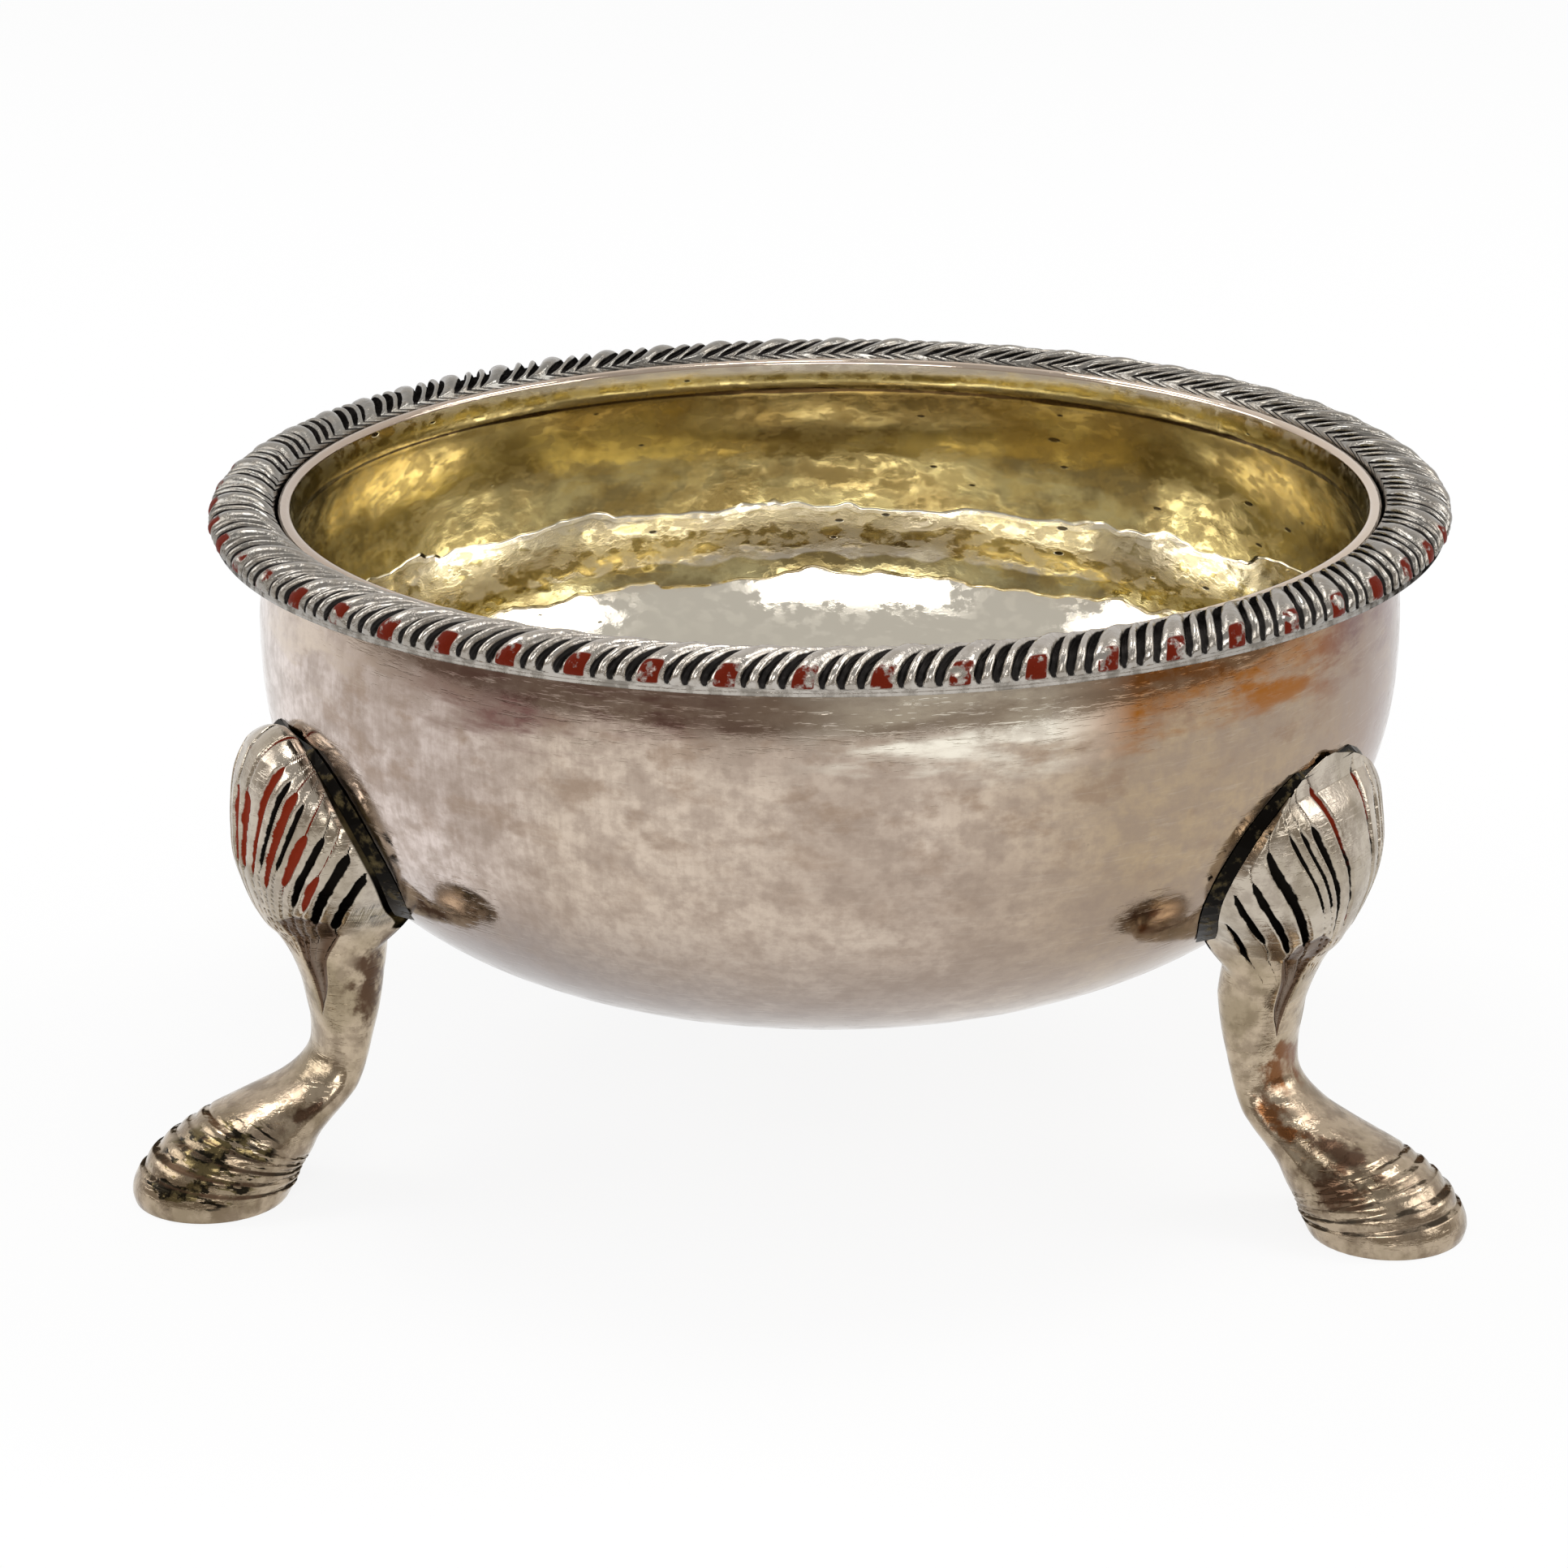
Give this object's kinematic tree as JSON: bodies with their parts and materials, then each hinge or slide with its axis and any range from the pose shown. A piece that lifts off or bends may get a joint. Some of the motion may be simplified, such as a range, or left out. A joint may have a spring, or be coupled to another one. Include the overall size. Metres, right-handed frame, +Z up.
{
  "type": "salt cellar",
  "caption": "Round open salt cellar: a raised bowl with a gadrooned rim and a gilt interior, standing on cast cabriole legs with fluted knees and hoof feet.",
  "frame": {"origin": "where the bowl's axis meets the surface that the soles stand on", "axes": "+Z up along the bowl's axis; -Y is the front, between two legs; the third leg stands at +Y"},
  "size_m": [0.076, 0.0791, 0.038],
  "materials": {
    "bowl_silver": "hand-raised silver with fine scratches and light tarnish outside, worn gilding inside",
    "rim_silver": "cast silver, bright on the lobes and black in the grooves",
    "leg_silver": "cast silver, worn smooth on the crests, tarnished in the flutes and on the hooves",
    "solder": "dull, blackened solder"
  },
  "bodies": {
    "root": {"bowl": "bowl_silver", "gadroon_rim": "rim_silver", "rim_solder": "solder", "leg_front_left": "leg_silver", "leg_front_right": "leg_silver", "leg_back": "leg_silver", "solder_front_left": "solder", "solder_front_right": "solder", "solder_back": "solder"}
  },
  "joints": []
}
